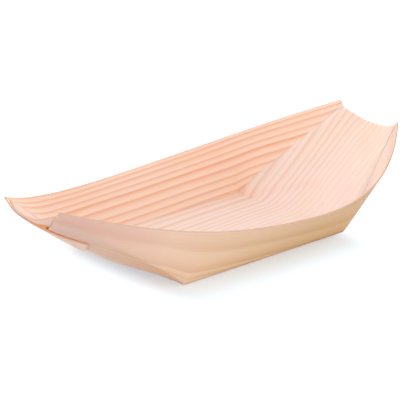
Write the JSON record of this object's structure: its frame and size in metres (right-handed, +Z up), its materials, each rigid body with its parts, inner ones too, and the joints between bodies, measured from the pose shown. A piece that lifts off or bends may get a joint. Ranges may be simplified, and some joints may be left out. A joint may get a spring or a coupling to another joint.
{
  "type": "wooden boat dish",
  "caption": "Boat-shaped serving dish folded from one sheet of pale pine veneer, with leaning sides, raked hollow ends, raised tips and glued corner tabs.",
  "frame": {"origin": "middle of the bottom's underside, on the surface that the dish stands on", "axes": "+X along the dish towards its fore end, +Y across it towards its port side, +Z up"},
  "size_m": [0.2206, 0.1122, 0.0445],
  "materials": {
    "inner_veneer": "bare peeled veneer, matt, fine tan grain lines",
    "side_veneer": "bare peeled veneer, matt, broad orange latewood bands",
    "tab_veneer": "bare peeled veneer, matt",
    "dried_glue": "dried clear glue"
  },
  "bodies": {
    "root": {"bottom_panel": "inner_veneer", "fore_end_wall": "inner_veneer", "aft_end_wall": "inner_veneer", "starboard_side_wall": "side_veneer", "port_side_wall": "side_veneer", "fore_inner_tab": "tab_veneer", "fore_outer_tab": "tab_veneer", "aft_inner_tab": "tab_veneer", "aft_outer_tab": "tab_veneer", "fore_wall_glue": "dried_glue", "fore_tab_glue": "dried_glue", "aft_wall_glue": "dried_glue", "aft_tab_glue": "dried_glue"}
  },
  "joints": []
}
